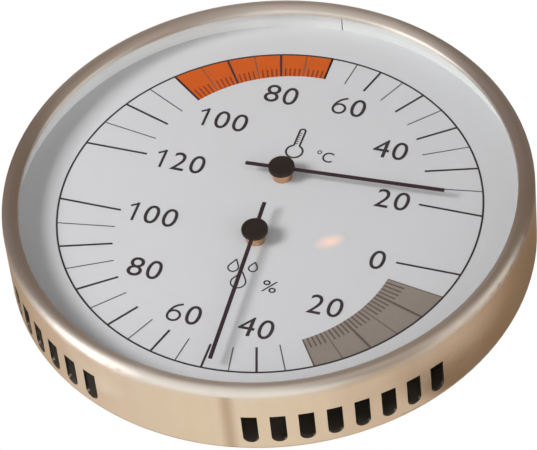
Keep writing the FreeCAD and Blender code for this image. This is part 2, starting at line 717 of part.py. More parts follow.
def make_hand(name, pivot, angle):
    """The hand on its brass collet, under its round black cap."""
    bore = "arbor_radius + fit_clearance"
    flange_back = f"{HAND_BACK} - hand_collet_flange"
    neck_top = f"{HAND_BACK} + hand_collet_neck"
    collet_profile = [
        (bore, flange_back),
        ("hand_collet_radius", flange_back),
        ("hand_collet_radius", HAND_BACK),
        ("hand_collet_neck_radius", HAND_BACK),
        ("hand_collet_neck_radius", neck_top),
        (bore, neck_top),
    ]
    turned_piece(f"{name}_hand_collet", collet_profile, pivot)

    hand = new_body(f"{name}_hand", pivot, angle)
    half = "hand_width / 2"
    blade = new_sketch(hand, "blade", lift=HAND_BACK)
    tail_end = "-(pivot_offset - hand_tail_gap)"
    draw_loop(blade, box_corners(tail_end, f"-({half})", "hand_length", half))
    pad(hand, blade, "hand_thickness")
    eye = new_sketch(hand, "eye", lift=HAND_BACK)
    draw_circle(eye, "0", "0", "hand_eye_radius")
    pad(hand, eye, "hand_thickness")
    hole = new_sketch(hand, "hole", lift=HAND_BACK)
    draw_circle(hole, "0", "0", "hand_collet_neck_radius + fit_clearance")
    pocket(hand, hole, "hand_thickness + overrun")

    cap = new_body(f"{name}_hub_cap", pivot, angle)
    under = f"{HAND_BACK} - cap_skirt"
    over = f"{HAND_BACK} + hand_thickness + fit_clearance"
    eye_room = "hand_eye_radius + fit_clearance"
    neck_room = "hand_collet_neck_radius + fit_clearance"
    arbor_room = "arbor_radius + fit_clearance"
    socket = f"{neck_top} + fit_clearance"
    blind_end = f"{ARBOR_FRONT} + fit_clearance"
    edge_centre = ("cap_radius - cap_edge_radius", f"{CAP_FRONT} - cap_edge_radius")
    profile = new_sketch(cap, "profile", "XZ_Plane")
    corners = [
        (eye_room, under),
        ("cap_radius", under),
        ("cap_radius", edge_centre[1]),
        (edge_centre[0], CAP_FRONT),
        ("0", CAP_FRONT),
        ("0", blind_end),
        (arbor_room, blind_end),
        (arbor_room, socket),
        (neck_room, socket),
        (neck_room, over),
        (eye_room, over),
    ]
    draw_loop(profile, corners, {2: (edge_centre, True)})
    revolve(cap, profile)
    groove = new_sketch(cap, "groove", lift=under)
    half_groove = "hand_width / 2 + fit_clearance"
    reach = "cap_radius + overrun"
    draw_loop(groove, box_corners(f"-({reach})", f"-({half_groove})", reach, half_groove))
    pocket(cap, groove, "cap_skirt + hand_thickness + fit_clearance")


def make_movement(name, pivot, angle, spin):
    make_bridge(name, pivot)
    make_rivets(name, pivot)
    make_bushes(name, pivot)
    make_lever(name, pivot, spin)
    make_coil(name, pivot, spin)
    make_arbor(name, pivot)
    make_hand(name, pivot, angle)


def check_and_export():
    """Stop on any failed feature or shape, then write one STEP file a piece."""
    doc.recompute()
    for thing in doc.Objects:
        if {"Invalid", "Error"} & set(thing.State):
            raise RuntimeError(f"{thing.Label} is {thing.State}")
    for piece in pieces:
        if piece.Shape.isNull() or not piece.Shape.isValid() or not piece.Shape.Solids:
            raise RuntimeError(f"{piece.Label} has no valid solid")
    os.makedirs(PARTS_FOLDER, exist_ok=True)
    for piece in pieces:
        piece.Shape.exportStep(os.path.join(PARTS_FOLDER, f"{piece.Label}.step"))
        solids = len(piece.Shape.Solids)
        print(f"{piece.Label}: {solids} solid(s), {piece.Shape.Volume:.1f} mm3")


make_case()
make_glass_and_spacer()
make_dial_and_plate()
make_pillars()
make_case_screws()
make_movement("temperature", "pivot_offset", SIZES["temperature_rest_angle"], 0.0)
make_movement("humidity", "-pivot_offset", SIZES["humidity_rest_angle"], FULL_TURN / 2)
check_and_export()
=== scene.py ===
# %% [markdown]
# A sauna thermo-hygrometer is a shallow drawn can with a rolled front lip. Under the lip sit a flat pane, a
# white spacer ring and a printed dial, and two black hands turn over the dial. The solid pieces come from
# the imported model, which is loaded as a fixed frame. This lesson adds what a model of plain solids lacks:
# the print on the dial, the finishes of every piece, and the light that the photograph was taken in.

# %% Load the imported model
import json
from math import asin, atan2, cos, degrees, pi, radians, sin, sqrt, tan, tau

import bmesh
import bpy
from mathutils import Matrix, Quaternion, Vector


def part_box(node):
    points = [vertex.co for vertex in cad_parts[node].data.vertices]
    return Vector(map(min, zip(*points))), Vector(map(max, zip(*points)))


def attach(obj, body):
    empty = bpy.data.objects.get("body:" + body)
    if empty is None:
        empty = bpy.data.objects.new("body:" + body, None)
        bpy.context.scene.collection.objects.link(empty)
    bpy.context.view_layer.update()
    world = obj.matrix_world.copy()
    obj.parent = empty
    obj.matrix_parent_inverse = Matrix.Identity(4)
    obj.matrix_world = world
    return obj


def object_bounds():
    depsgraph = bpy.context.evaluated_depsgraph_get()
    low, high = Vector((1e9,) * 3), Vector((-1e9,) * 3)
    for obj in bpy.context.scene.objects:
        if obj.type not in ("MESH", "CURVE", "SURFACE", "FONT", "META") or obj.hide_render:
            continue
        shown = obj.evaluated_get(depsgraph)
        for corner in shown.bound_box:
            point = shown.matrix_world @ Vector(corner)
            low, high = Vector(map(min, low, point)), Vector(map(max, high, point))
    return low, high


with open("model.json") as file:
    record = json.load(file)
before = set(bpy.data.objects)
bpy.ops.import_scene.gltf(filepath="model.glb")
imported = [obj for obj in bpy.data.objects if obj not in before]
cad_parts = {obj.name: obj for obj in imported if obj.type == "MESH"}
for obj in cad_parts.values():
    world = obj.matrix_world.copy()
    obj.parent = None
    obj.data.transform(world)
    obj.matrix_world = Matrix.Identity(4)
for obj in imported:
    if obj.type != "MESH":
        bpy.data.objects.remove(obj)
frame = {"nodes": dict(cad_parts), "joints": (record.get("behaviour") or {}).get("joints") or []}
cad_low, cad_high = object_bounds()
nodes = frame["nodes"]
print("pieces from the model:", len(nodes))
print("box of the model, mm:", [round((b - a) * 1000, 2) for a, b in zip(cad_low, cad_high)])

# %% [markdown]
# What lies on a piece of the model takes its place from that piece, so that nothing floats. The front of the
# dial is the lowest Y of its box, the can's radius is the highest X, and the joints say where each hand's
# axis is. A point of the print is written as x to the right and y up the dial, as one would read it off a
# drawing.

# %% Places that the rest is set out from
MM = 0.001
CAN_RADIUS = cad_high.x
DIAL_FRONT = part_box("dial_face")[0].y
HINGES = {joint["name"]: joint["pos_m"] for joint in frame["joints"]}
LAID_ON_DIAL = Matrix.Translation((0, DIAL_FRONT, 0)) @ Matrix.Rotation(radians(90), 4, "X")
print("dial front at", round(DIAL_FRONT / MM, 2), "mm; hinges:", ", ".join(HINGES))

# %% [markdown]
# The photograph looks up at the instrument from below and a little from the right, with a long lens, and it
# is tilted. So the camera is placed by an aim point, a distance and two angles, and is rolled about its own
# axis last. Long lenses flatten depth, which is why the ring looks almost like a plain ellipse.

# %% Camera
AIM = Vector((1.608, -13.67, -5.588)) * MM
DISTANCE = 851.385 * MM
AZIMUTH = 19.532
ELEVATION = -38.204
ROLL = radians(23.133)
FOCAL_LENGTH = 234.637
SENSOR_WIDTH = 36.0


def towards(azimuth, elevation):
    """A direction from the object: azimuth from the front towards the right, and elevation, in degrees."""
    flat = cos(radians(elevation))
    return Vector((sin(radians(azimuth)) * flat, -cos(radians(azimuth)) * flat, sin(radians(elevation))))


towards_camera = towards(AZIMUTH, ELEVATION)
lens = bpy.data.cameras.new("camera")
lens.lens = FOCAL_LENGTH
lens.sensor_width = SENSOR_WIDTH
camera = bpy.data.objects.new("camera", lens)
camera.location = AIM + towards_camera * DISTANCE
level = (-towards_camera).to_track_quat("-Z", "Y")
camera.rotation_mode = "QUATERNION"
camera.rotation_quaternion = level @ Quaternion((0, 0, 1), ROLL)
scene = bpy.context.scene
scene.collection.objects.link(camera)
bpy.context.scene.camera = camera
print("camera at", [round(v, 3) for v in camera.location])

# %% [markdown]
# The room, the glows and every finish are built from shader nodes. A few short helpers keep that readable:
# one makes a node and feeds its inputs, each with a plain value or with another node's output, and the
# others serve the kinds that come up most.


# %% Node helpers
def feed(tree, socket, value):
    """Joins an input to another node's output, or sets its plain value."""
    if isinstance(value, bpy.types.NodeSocket):
        tree.links.new(value, socket)
    else:
        socket.default_value = value


def make(tree, kind, inputs=None, operation=None):
    """A new shader node, with its inputs fed by name or number."""
    node = tree.nodes.new("ShaderNode" + kind)
    if operation:
        node.operation = operation
    for key, value in (inputs or {}).items():
        feed(tree, node.inputs[key], value)
    return node


def calculate(tree, operation, *values):
    """The result of one sum, product or comparison."""
    return make(tree, "Math", dict(enumerate(values)), operation).outputs[0]


def stretch(tree, value, start, end, low=0.0, high=1.0, smooth=False):
    """A value that goes from low to high while another goes from start to end."""
    node = make(tree, "MapRange", {"Value": value, "From Min": start, "From Max": end})
    feed(tree, node.inputs["To Min"], low)
    feed(tree, node.inputs["To Max"], high)
    if smooth:
        node.interpolation_type = "SMOOTHSTEP"
    return node.outputs[0]


def mix_colours(tree, share, first, second):
    """A colour between two others, each an output or a plain red, green and blue."""
    node = make(tree, "Mix")
    node.data_type = "RGBA"
    feed(tree, node.inputs[0], share)
    for number, colour in ((6, first), (7, second)):
        plain = not isinstance(colour, bpy.types.NodeSocket)
        feed(tree, node.inputs[number], (*colour, 1) if plain else colour)
    return node.outputs[2]


def from_axis(tree, place):
    """The distance of a place from the Y axis, which is the can's own."""
    across = make(tree, "VectorMath", {0: place, 1: (1, 0, 1)}, "MULTIPLY")
    return make(tree, "VectorMath", {0: across.outputs[0]}, "LENGTH").outputs["Value"]


print("node helpers are ready")

# %% [markdown]
# A studio is a pale floor, a white room and soft lamps. The room is the world: rays from the camera,
# reflections and rays that went through glass see plain white, and only the scattered light that falls on
# the pieces is dimmer, so that white paint doesn't burn out. Light Path tells these rays apart.

# %% White room
ROOM_LIGHT = 0.21


def not_scattered(tree):
    """1 for a ray that no matte surface has scattered yet and 0 after that, with the Light Path node."""
    path = make(tree, "LightPath")
    return calculate(tree, "LESS_THAN", path.outputs["Diffuse Depth"], 0.5), path


def seen_or_mirrored(tree):
    """1 for what the camera sees, straight, mirrored or through glass, and 0 for scattered light."""
    fresh, path = not_scattered(tree)
    seen = calculate(tree, "MAXIMUM", path.outputs["Is Camera Ray"], path.outputs["Is Glossy Ray"])
    any_of_three = calculate(tree, "MAXIMUM", seen, path.outputs["Is Transmission Ray"])
    return calculate(tree, "MULTIPLY", any_of_three, fresh)


scene.view_settings.view_transform = "Standard"
room = bpy.data.worlds.new("white_room")
scene.world = room
room.use_nodes = True
tree = room.node_tree
background = tree.nodes["Background"]
background.inputs["Color"].default_value = (1, 1, 1, 1)
brightness = stretch(tree, seen_or_mirrored(tree), 0.0, 1.0, ROOM_LIGHT, 1.0)
feed(tree, background.inputs["Strength"], brightness)
print("room light on the pieces:", ROOM_LIGHT)

# %% [markdown]
# Most of the stage is made of glowing patches that only shiny surfaces see. They light nothing and the
# camera looks past them, so they can be shaped freely until the metal mirrors what the photograph shows.


# %% Glows and stage pieces
def blank_material(name):
    """A new material and its node tree."""
    material = bpy.data.materials.new(name)
    material.use_nodes = True
    return material, material.node_tree


def show_mix(tree, share, first, second):
    """Makes the surface a mix of two shaders: the first at a share of 0, the second at 1."""
    shown = make(tree, "MixShader", {0: share, 1: first.outputs[0], 2: second.outputs[0]})
    feed(tree, tree.nodes["Material Output"].inputs["Surface"], shown.outputs[0])
    return shown


def glow_material(name, colour=(1, 1, 1), strength=1.0):
    """A glow that mirrors and glass show, and that scattered light passes through as if it weren't there."""
    material, tree = blank_material(name)
    glow = make(tree, "Emission", {"Color": (*colour, 1), "Strength": strength})
    shown = show_mix(tree, not_scattered(tree)[0], make(tree, "BsdfTransparent"), glow)
    material.cycles.emission_sampling = "NONE"
    return material, glow, shown


def stage_object(name, bm, material, only_mirrored=True):
    """Puts a mesh on the stage; most of the stage is seen by shiny surfaces alone."""
    mesh = bpy.data.meshes.new(name)
    bm.to_mesh(mesh)
    bm.free()
    mesh.materials.append(material)
    panel = bpy.data.objects.new(name, mesh)
    if only_mirrored:
        panel.visible_camera = panel.visible_diffuse = panel.visible_shadow = False
    scene.collection.objects.link(panel)
    return panel


def flat_square(half):
    """A square face of a given half side, flat on the XY plane."""
    bm = bmesh.new()
    bmesh.ops.create_grid(bm, x_segments=1, y_segments=1, size=half)
    return bm


print("stage helpers are ready")

# %% [markdown]
# The floor is pale where the camera sees it and plain white in a reflection, so that metal and glass show
# it as part of the white studio.

# %% Floor
FLOOR_HEIGHT = -1.35
FLOOR_HALF = 6.0
pale, tree = blank_material("pale_floor")
matte = tree.nodes["Principled BSDF"]
matte.inputs["Base Color"].default_value = (0.82, 0.82, 0.81, 1)
matte.inputs["Roughness"].default_value = 0.8
show_mix(tree, make(tree, "LightPath").outputs["Is Glossy Ray"], matte, make(tree, "Emission"))
pale.cycles.emission_sampling = "NONE"
floor = flat_square(FLOOR_HALF)
bmesh.ops.translate(floor, vec=(0, 0, FLOOR_HEIGHT), verts=floor.verts)
stage_object("floor", floor, pale, only_mirrored=False)
print("floor at", FLOOR_HEIGHT, "m")

# %% [markdown]
# The strongest lamp stands low on the left in front, because the hands throw their shadows to the right.
# Three wide, weak lamps fill in from the right and from behind. The metal doesn't mirror the lamps
# themselves.


# %% Lamps
def facing_object(place):
    """A matrix that stands at place with its Z axis towards the object."""
    return Matrix.Translation(place) @ (-place).to_track_quat("Z", "Y").to_matrix().to_4x4()


def soft_lamp(name, azimuth, elevation, distance, size, power):
    """A square lamp that shines on the object from a direction."""
    light = bpy.data.lights.new(name, "AREA")
    light.size = size
    light.energy = power
    lamp = bpy.data.objects.new(name, light)
    lamp.matrix_world = facing_object(towards(azimuth, elevation) * distance) @ Matrix.Rotation(pi, 4, "X")
    lamp.visible_glossy = lamp.visible_transmission = False
    scene.collection.objects.link(lamp)


soft_lamp("key_lamp", -41, -22, distance=0.65, size=0.24, power=3.8)
soft_lamp("fill_lamp", 36, -32, distance=1.3, size=1.2, power=7.5)
soft_lamp("side_lamp", 68, -14, distance=1.2, size=0.9, power=5.0)
soft_lamp("rear_lamp", 153, 29, distance=1.5, size=0.9, power=5.0)
print("lamps:", len(bpy.data.lights))

# %% [markdown]
# Polished metal has hardly a colour of its own: it shows what stands around it. In a sauna that is brown
# wood above and behind, and pale light below. A large sphere round the stage, which only shiny surfaces
# see, carries those tones: its colour follows the height, with one ramp for the front and a warmer one for
# the back.

# %% Warm surroundings
SURROUND_RADIUS = 1.6
BACK_STARTS = 0.2 * SURROUND_RADIUS
BACK_FULL = 0.7 * SURROUND_RADIUS
FRONT_TONES = (
    (0.27, (0.86, 0.87, 0.88)), (0.41, (0.80, 0.75, 0.73)), (0.50, (0.58, 0.50, 0.47)),
    (0.59, (0.42, 0.35, 0.33)), (0.67, (0.30, 0.24, 0.22)), (0.77, (0.20, 0.155, 0.13)),
    (0.90, (0.17, 0.13, 0.11)), (1.0, (0.25, 0.21, 0.19)))
BACK_TONES = (
    (0.0, (0.86, 0.75, 0.62)), (0.20, (0.82, 0.68, 0.52)), (0.35, (0.72, 0.57, 0.45)),
    (0.59, (0.57, 0.43, 0.31)), (0.77, (0.33, 0.22, 0.14)), (0.90, (0.28, 0.20, 0.15)),
    (1.0, (0.25, 0.21, 0.19)))


def tone_at(tree, height, tones):
    """The colour of a ramp, given as pairs of a position and a colour, at a height from 0 to 1."""
    ramp = make(tree, "ValToRGB", {0: height})
    stops = ramp.color_ramp.elements
    while len(stops) < len(tones):
        stops.new(0.5)
    for stop, (position, colour) in zip(stops, tones):
        stop.position = position
        stop.color = (*colour, 1)
    return ramp.outputs[0]


wood, wood_glow, _ = glow_material("wood_tones")
tree = wood.node_tree
place = make(tree, "SeparateXYZ", {0: make(tree, "TexCoord").outputs["Object"]})
height = stretch(tree, place.outputs["Z"], -SURROUND_RADIUS, SURROUND_RADIUS)
behind = stretch(tree, place.outputs["Y"], BACK_STARTS, BACK_FULL, smooth=True)
tone = mix_colours(tree, behind, tone_at(tree, height, FRONT_TONES), tone_at(tree, height, BACK_TONES))
feed(tree, wood_glow.inputs["Color"], tone)
sphere = bmesh.new()
bmesh.ops.create_uvsphere(sphere, u_segments=48, v_segments=24, radius=SURROUND_RADIUS)
stage_object("surround", sphere, wood)
print("surroundings:", len(FRONT_TONES) + len(BACK_TONES), "tones")

# %% [markdown]
# Soft ovals in front of the sphere add what stands on one side only: pale and brown on the right, dim,
# bright and dull on the left. Each is a square whose glow fades towards an oval rim, and its colour is what
# the metal shows there.


# %% Soft ovals
def round_fade(tree):
    """A value that falls from 1 in the middle of a patch to 0 at its oval rim."""
    fade = make(tree, "TexGradient", {"Vector": make(tree, "TexCoord").outputs["Object"]})
    fade.gradient_type = "SPHERICAL"
    return fade.outputs["Fac"]


def soft_patch(name, place, half_sizes, colour, strength=1.0, outside=0.0):
    """A glowing oval with a soft border, which keeps outside a radius about the can's axis."""
    material, _, shown = glow_material(name, colour, strength)
    tree = material.node_tree
    border = stretch(tree, round_fade(tree), 0.0, 0.5, smooth=True)
    reach = from_axis(tree, make(tree, "NewGeometry").outputs["Position"])
    soft = calculate(tree, "MULTIPLY", shown.inputs[0].links[0].from_socket, border)
    kept = calculate(tree, "MULTIPLY", soft, calculate(tree, "GREATER_THAN", reach, outside))
    feed(tree, shown.inputs[0], kept)
    patch = stage_object(name, flat_square(1.0), material)
    patch.matrix_world = place @ Matrix.Diagonal((*half_sizes, 1, 1))


def far_patch(name, azimuth, elevation, radii, colour, strength=1.0, distance=1.2):
    """A soft oval that covers the two angles in radii, seen from the object in a direction."""
    place = facing_object(towards(azimuth, elevation) * distance)
    soft_patch(name, place, [distance * tan(radians(radius)) for radius in radii], colour, strength)


far_patch("pale_right", 74, 12, (34, 28), (0.84, 0.81, 0.78))
far_patch("brown_low_right", 52, -26, (48, 22), (0.34, 0.29, 0.26), distance=1.1)
far_patch("brown_behind_right", 108, -34, (34, 20), (0.56, 0.47, 0.38), distance=1.1)
far_patch("dim_left", -58, 11, (44, 26), (0.24, 0.20, 0.20))
far_patch("bright_low_left", -78, -38, (40, 23), (1.0, 0.98, 1.0), strength=2.1, distance=1.1)
far_patch("dull_high_left", -72, 60, (30, 24), (0.42, 0.37, 0.35), distance=1.15)
print("soft ovals are in place")

# %% [markdown]
# One thing stands so close that each part of the wall mirrors it elsewhere: the brown board behind the can,
# which darkens the right side of its wall towards the rear. It ends at the can's edge, so that the rear
# face, which nearly touches it, doesn't mirror it.

# %% Board behind the can
BOARD_ANGLE = radians(82)
BOARD_HALF_SIZES = (52 * MM, 10 * MM)
BOARD_DEPTH = 1 * MM
BOARD_GAP = 0.3 * MM
board_middle = Vector((CAN_RADIUS * sin(BOARD_ANGLE), BOARD_DEPTH, -CAN_RADIUS * cos(BOARD_ANGLE)))
board_turn = Matrix.Rotation(radians(90), 4, "X") @ Matrix.Rotation(BOARD_ANGLE, 4, "Z")
board_place = Matrix.Translation(board_middle) @ board_turn
soft_patch("board_right", board_place, BOARD_HALF_SIZES, (0.25, 0.16, 0.095), outside=CAN_RADIUS + BOARD_GAP)
print("board behind the can at", [round(v / MM, 1) for v in board_middle], "mm")

# %% [markdown]
# A lamp far away leaves one small warm glint in the pane. Its place follows from the law of reflection: the
# line of sight to that point of the pane is turned round the pane, and the glowing patch hangs on the
# turned line. The patch is parallel to the pane, so that its mirror image keeps its shape, and it glows for
# sharp mirrors only, so that the satin lip doesn't pick it up as a line.

# %% Warm glint in the pane
GLINT = Vector((17.6, -13.67, -6.8)) * MM
GLINT_HALF_SIZES = (4.5 * MM, 2.5 * MM)
GLINT_TURN = radians(36)
GLINT_STRENGTH = 4.8
PATCH_DISTANCE = 0.9
PANE_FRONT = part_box("front_glass")[0].y
sight = (GLINT - camera.location).normalized()
touch = camera.location + sight * ((PANE_FRONT - camera.location.y) / sight.y)
mirrored_sight = Vector((sight.x, -sight.y, sight.z))
grow = 1 + PATCH_DISTANCE / (touch - camera.location).length
warm, warm_glow, _ = glow_material("glint_glow", (1.0, 0.33, 0.02))
tree = warm.node_tree
strength = calculate(tree, "MULTIPLY", round_fade(tree), GLINT_STRENGTH)
sharp_only = make(tree, "LightPath").outputs["Is Singular Ray"]
feed(tree, warm_glow.inputs["Strength"], calculate(tree, "MULTIPLY", strength, sharp_only))
patch = stage_object("glint_patch", flat_square(1.0), warm)
patch.matrix_world = (Matrix.Translation(touch + mirrored_sight * PATCH_DISTANCE)
                      @ Matrix.Rotation(radians(90), 4, "X") @ Matrix.Rotation(GLINT_TURN, 4, "Z")
                      @ Matrix.Diagonal((*[half * grow for half in GLINT_HALF_SIZES], 1, 1)))
print("glint patch at", [round(v, 3) for v in patch.matrix_world.translation])

# %% [markdown]
# The print on an enamel dial is a thin layer of ink. It is modelled as closed slivers a few hundredths of a
# millimetre proud of the dial, because a baked picture would blur such fine lines. Lines of different kinds
# have tops of different heights, so that they don't flicker where they cross. Two shapes make nearly all of
# the print: a straight bar, and an arc band that is a small rectangle spun about a centre.

# %% Ink helpers
SUNK = 0.02 * MM
FIELD_TOP = 0.030 * MM
UNIT_TOP = 0.040 * MM
THIN_TOP = 0.045 * MM
FIVE_TOP = 0.046 * MM
THICK_TOP = 0.050 * MM
FLAG_TOP = 0.051 * MM
FIGURE_TOP = 0.055 * MM
CIRCLE_TOP = 0.060 * MM
LONGEST_FACET = 0.7 * MM


def bar(bm, start, end, width, height):
    """A straight stroke from start to end on the dial, standing height proud of it."""
    along = end - start
    middle = (start + end) / 2
    turn = Matrix.Rotation(atan2(along.y, along.x), 4, "Z")
    size = Matrix.Diagonal((along.length, width, height + SUNK, 1))
    place = Matrix.Translation((middle.x, middle.y, (height - SUNK) / 2))
    bmesh.ops.create_cube(bm, size=1.0, matrix=place @ turn @ size)


def arc(bm, centre, radius, width, height, start=0.0, sweep=tau, steps=None):
    """A curved stroke: a rectangle of the stroke's width is spun about a centre."""
    full = abs(sweep) > tau - 1e-6
    steps = steps or max(6, int(radius * abs(sweep) / LONGEST_FACET))
    inner = radius - width / 2
    outer = radius + width / 2
    corners = [(inner, -SUNK), (outer, -SUNK), (outer, height), (inner, height)]
    ring = [bm.verts.new((centre.x + r * cos(start), centre.y + r * sin(start), z)) for r, z in corners]
    edges = [bm.edges.new((ring[i], ring[(i + 1) % 4])) for i in range(4)]
    made = bmesh.ops.spin(bm, geom=edges, cent=(centre.x, centre.y, 0), axis=(0, 0, 1), angle=sweep,
                          steps=steps, use_merge=full)
    if not full:
        bm.faces.new(ring)
        bm.faces.new([g for g in made["geom_last"] if isinstance(g, bmesh.types.BMVert)])


def ink_piece(name, bm, material):
    """Closes the ink mesh, lays it on the dial and lets it ride with the case."""
    bmesh.ops.recalc_face_normals(bm, faces=bm.faces)
    bmesh.ops.transform(bm, matrix=LAID_ON_DIAL, verts=bm.verts)
    mesh = bpy.data.meshes.new(name)
    bm.to_mesh(mesh)
    bm.free()
    mesh.materials.append(material)
    piece = bpy.data.objects.new(name, mesh)
    scene.collection.objects.link(piece)
    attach(piece, "case")
    print(name, len(mesh.polygons), "faces")


# %% [markdown]
# Ink isn't quite even: it is a little thinner in places and lets the enamel through. A noise with spots of
# about two millimetres makes it lighter or darker from place to place. The same small recipe serves every
# ink, with its own colour.

# %% Ink materials
SPOTS_PER_METRE = 420.0
INK_ROUGHNESS = 0.62
INK_SHINE = 0.3
LEAST_LIGHT = 0.004


def ink(name, colour, spread=0.18):
    """Printed ink whose colour varies by a share of itself."""
    material, tree = blank_material(name)
    shader = tree.nodes["Principled BSDF"]
    place = make(tree, "TexCoord").outputs["Object"]
    spots = make(tree, "TexNoise", {"Vector": place, "Scale": SPOTS_PER_METRE, "Detail": 3.0}).outputs["Fac"]
    dark = [c * (1 - spread) for c in colour]
    light = [min(1, c * (1 + spread) + LEAST_LIGHT) for c in colour]
    feed(tree, shader.inputs["Base Color"], mix_colours(tree, spots, dark, light))
    shader.inputs["Roughness"].default_value = INK_ROUGHNESS
    shader.inputs["Specular IOR Level"].default_value = INK_SHINE
    return material


BLACK_INK = ink("ink_black", (0.026, 0.018, 0.024))
SOFT_INK = ink("ink_soft_black", (0.085, 0.070, 0.078))
ORANGE_INK = ink("ink_orange", (0.56, 0.088, 0.002), spread=0.08)
GREY_INK = ink("ink_grey", (0.245, 0.208, 0.176), spread=0.08)
RUST_INK = ink("ink_rust", (0.22, 0.032, 0.006))
UMBER_INK = ink("ink_umber", (0.105, 0.075, 0.066))
print("inks made")

# %% [markdown]
# Both scales share one circle, but each is drawn from a centre of its own near its pivot, so that its hand
# points nearly along the ticks. A tick therefore starts at a fixed distance from that centre and ends where
# its ray meets the circle. Temperature rises counter-clockwise from 20 on the right to 120 on the left, and
# humidity clockwise from 0 to 100.

# %% The scales' geometry
CENTRE_OFFSET = 9.69 * MM
SCALE_CENTRES = {"temperature": Vector((0, CENTRE_OFFSET)), "humidity": Vector((0, -CENTRE_OFFSET))}
CIRCLE_RADIUS = 52.25 * MM
TICK_START = 35.26 * MM
DEGREES_PER_UNIT = 1.8
MIDDLE_TEMPERATURE = 70
MIDDLE_HUMIDITY = 50


def ray_angle(scale, value):
    """The direction of a reading, counter-clockwise from the right."""
    if scale == "temperature":
        return radians(90 + DEGREES_PER_UNIT * (value - MIDDLE_TEMPERATURE))
    return radians(-90 - DEGREES_PER_UNIT * (value - MIDDLE_HUMIDITY))


def on_ray(scale, angle, distance):
    """The point of the dial at a distance from a scale's centre."""
    return SCALE_CENTRES[scale] + Vector((cos(angle), sin(angle))) * distance


def to_circle(scale, angle):
    """How far the scale circle is from the scale's centre along a ray."""
    offset = SCALE_CENTRES[scale].dot(Vector((cos(angle), sin(angle))))
    return -offset + sqrt(offset ** 2 - SCALE_CENTRES[scale].length_squared + CIRCLE_RADIUS ** 2)


def tick(bm, scale, value, width, height, share=1.0):
    """A tick over a share of the way from the inner arc to the circle."""
    angle = ray_angle(scale, value)
    reach = to_circle(scale, angle) - TICK_START
    start = on_ray(scale, angle, TICK_START)
    bar(bm, start, on_ray(scale, angle, TICK_START + reach * share), width, height)


top_tick = to_circle("temperature", radians(90)) - TICK_START
print("length of the tick at 70 degrees, mm:", round(top_tick / MM, 2))

# %% [markdown]
# The plain parts of both scales have a thick tick at every ten and a thin, softer one at every five. The
# ranges that are printed as colour fields are left out here.

# %% Scale circle and plain ticks
CIRCLE_LINE = 0.46 * MM
THICK = 0.55 * MM
THIN = 0.29 * MM
PLAIN_READINGS = (
    ("temperature", [value for value in range(20, 121, 5) if not 70 < value < 100]),
    ("humidity", [value for value in range(0, 101, 5) if not 5 <= value <= 30]))
circle = bmesh.new()
arc(circle, Vector((0, 0)), CIRCLE_RADIUS, CIRCLE_LINE, CIRCLE_TOP)
thick_ticks = bmesh.new()
thin_ticks = bmesh.new()
for scale, values in PLAIN_READINGS:
    for value in values:
        if value % 10:
            tick(thin_ticks, scale, value, THIN, THIN_TOP)
        else:
            tick(thick_ticks, scale, value, THICK, THICK_TOP)
ink_piece("print_circle", circle, BLACK_INK)
ink_piece("print_thick_ticks", thick_ticks, BLACK_INK)
ink_piece("print_thin_ticks", thin_ticks, SOFT_INK)

# %% [markdown]
# Two ranges are printed as colour fields: orange for the heat of a sauna and grey for its humidity. Each
# field is an arc about its scale's centre whose outer side is pushed out to the circle. The arc is one
# point spun about that centre. It is extruded once, the new row is moved along its rays, and the sheet is
# thickened into a sliver.

# %% Coloured zones
ZONE_STEP = 1.5


def zone(name, scale, first, last, material):
    """A field of colour between two readings, from the inner arc to the circle."""
    low, high = sorted((ray_angle(scale, first), ray_angle(scale, last)))
    steps = max(8, int(degrees(high - low) / ZONE_STEP))
    bm = bmesh.new()
    start = on_ray(scale, low, TICK_START)
    first_vert = bm.verts.new((start.x, start.y, -SUNK))
    centre = SCALE_CENTRES[scale]
    bmesh.ops.spin(bm, geom=[first_vert], cent=(centre.x, centre.y, 0), axis=(0, 0, 1), angle=high - low,
                   steps=steps)
    row = bmesh.ops.extrude_edge_only(bm, edges=list(bm.edges))["geom"]
    for vert in [g for g in row if isinstance(g, bmesh.types.BMVert)]:
        angle = atan2(vert.co.y - centre.y, vert.co.x - centre.x)
        vert.co.xy = on_ray(scale, angle, to_circle(scale, angle))
    top = bmesh.ops.extrude_face_region(bm, geom=list(bm.faces))["geom"]
    raised = [g for g in top if isinstance(g, bmesh.types.BMVert)]
    bmesh.ops.translate(bm, vec=(0, 0, FIELD_TOP + SUNK), verts=raised)
    ink_piece(name, bm, material)


zone("print_orange_zone", "temperature", 70, 100, ORANGE_INK)
zone("print_grey_zone", "humidity", 5, 30, GREY_INK)

# %% [markdown]
# Lines cross the fields too: full ones at the tens and fives, and short ones at every degree and per cent
# between them. Their inks are black, umber and rust.

# %% Lines inside the zones
ORANGE_EDGE = 0.36 * MM
ORANGE_FIVE = 0.24 * MM
GREY_TEN = 0.6 * MM
GREY_FIVE = 0.25 * MM
GREY_EDGE = 0.4 * MM
UNIT_LINE = 0.42 * MM
ORANGE_UNIT_SHARE = 0.36
GREY_UNIT_SHARE = 0.35
orange_tens, orange_fives, orange_units, grey_lines = (bmesh.new() for _ in range(4))
for value, width in ((70, ORANGE_EDGE), (80, THICK), (90, THICK), (100, ORANGE_EDGE)):
    tick(orange_tens, "temperature", value, width, THICK_TOP)
for value in (75, 85, 95):
    tick(orange_fives, "temperature", value, ORANGE_FIVE, FIVE_TOP)
for value in range(71, 100):
    if value % 5:
        tick(orange_units, "temperature", value, UNIT_LINE, UNIT_TOP, ORANGE_UNIT_SHARE)
for value in (10, 20):
    tick(grey_lines, "humidity", value, GREY_TEN, THICK_TOP)
for value, width in ((5, GREY_FIVE), (15, GREY_FIVE), (25, GREY_FIVE), (30, GREY_EDGE)):
    tick(grey_lines, "humidity", value, width, FIVE_TOP)
